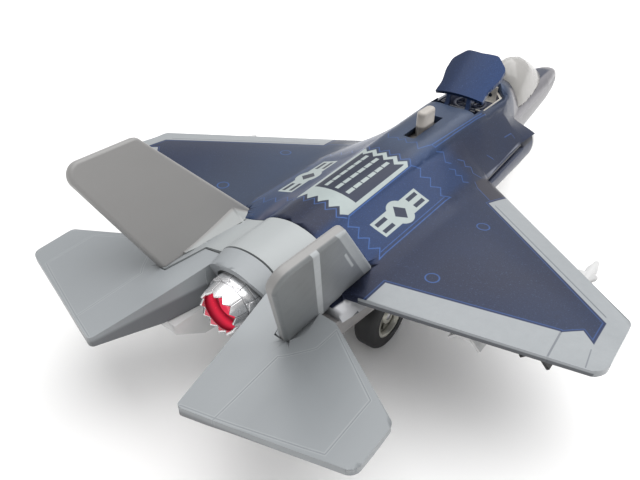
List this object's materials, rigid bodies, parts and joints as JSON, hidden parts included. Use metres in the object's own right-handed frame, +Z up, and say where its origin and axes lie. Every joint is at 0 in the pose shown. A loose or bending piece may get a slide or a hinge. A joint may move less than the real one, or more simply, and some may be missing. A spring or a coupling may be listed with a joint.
{
  "type": "toy airplane",
  "caption": "Die-cast toy jet with canted twin tails, lift-fan door worked by a sliding knob, swivelling exhaust nozzle, rolling wheels and wing stores.",
  "frame": {"origin": "on the ground under the middle of the bounding box", "axes": "+Z up, -Y towards the nose, +X towards the port wing tip"},
  "size_m": [0.1446, 0.218, 0.0581],
  "materials": {
    "blue_metal": "metallic navy enamel",
    "pale_plastic": "pale grey satin",
    "deck_grey": "cool grey satin",
    "fin_grey": "warm grey satin",
    "canopy_tint": "clear, tinted",
    "dark_plastic": "matte",
    "black_plastic": "matte",
    "cream_plastic": "satin",
    "steel": "bright",
    "chrome_plate": "vacuum plated",
    "red_lens": "clear red",
    "tyre_rubber": "matte rubber",
    "brass_gear": "machined",
    "white_gear": "moulded",
    "cell_steel": "nickel plated",
    "board_green": "solder mask"
  },
  "bodies": {
    "airframe": {"upper_hull": "blue_metal", "lower_hull": "pale_plastic", "tail_deck": "deck_grey", "fin_port": "fin_grey", "fin_starboard": "fin_grey", "tail_frame": "deck_grey", "canopy": "canopy_tint", "cockpit_tub": "dark_plastic", "pilot_seat": "dark_plastic", "lift_fan": "cream_plastic", "door_hinge_pin": "steel", "slider_guide": "black_plastic", "motor_case": "black_plastic", "nose_gear_leg": "pale_plastic", "battery_cover": "pale_plastic", "battery_cell_front": "cell_steel", "battery_cell_middle": "cell_steel", "battery_cell_rear": "cell_steel", "battery_contacts": "brass_gear", "circuit_board": "board_green", "speaker": "black_plastic", "led_lamp": "red_lens", "cover_screw": "steel", "hull_screws": "steel", "inner_pylon_port": "fin_grey", "inner_pylon_starboard": "fin_grey", "outer_pylon_port": "fin_grey", "outer_pylon_starboard": "fin_grey", "inner_store_port": "pale_plastic", "inner_store_starboard": "pale_plastic", "outer_missile_port": "pale_plastic", "outer_missile_starboard": "pale_plastic"},
    "slider": {"door_slider": "cream_plastic"},
    "lift_door": {"fan_door": "blue_metal", "door_bracket": "cream_plastic"},
    "nozzle": {"nozzle_collar": "black_plastic", "nozzle_petals": "chrome_plate", "nozzle_lens": "red_lens"},
    "main_wheels": {"main_axle": "steel", "tyre_port": "tyre_rubber", "tyre_starboard": "tyre_rubber", "rim_port": "chrome_plate", "rim_starboard": "chrome_plate", "axle_pinion": "brass_gear"},
    "spring_drum": {"spring_gear": "white_gear", "spring_barrel": "white_gear"},
    "nose_wheel": {"nose_axle": "steel", "nose_tyre": "tyre_rubber", "nose_rim": "chrome_plate"}
  },
  "joints": [
    {"name": "knob_slide", "type": "slide", "parent": "airframe", "child": "slider", "axis": [0, -1, 0], "range_m": [-0.00468, 0.00382]},
    {"name": "fan_door_hinge", "type": "hinge", "parent": "airframe", "child": "lift_door", "pos_m": [0, -0.0178, 0.0362], "axis": [-1, 0, 0], "range_deg": [-33.1, 27.1]},
    {"name": "nozzle_swivel", "type": "hinge", "parent": "airframe", "child": "nozzle", "pos_m": [0, 0.0776, 0.0264], "axis": [-1, 0, 0], "range_deg": [0, 50]},
    {"name": "main_wheel_spin", "type": "hinge", "parent": "airframe", "child": "main_wheels", "pos_m": [0, 0.0473, 0.0091], "axis": [1, 0, 0], "continuous": true},
    {"name": "spring_drum_spin", "type": "hinge", "parent": "airframe", "child": "spring_drum", "pos_m": [0, 0.04066, 0.0145], "axis": [1, 0, 0], "continuous": true},
    {"name": "nose_wheel_spin", "type": "hinge", "parent": "airframe", "child": "nose_wheel", "pos_m": [0, -0.059, 0.0052], "axis": [1, 0, 0], "continuous": true}
  ],
  "couplings": [
    {"joint": "fan_door_hinge", "follows": "knob_slide", "rad_per_m": 123.2},
    {"joint": "spring_drum_spin", "follows": "main_wheel_spin", "ratio": -0.41667}
  ]
}
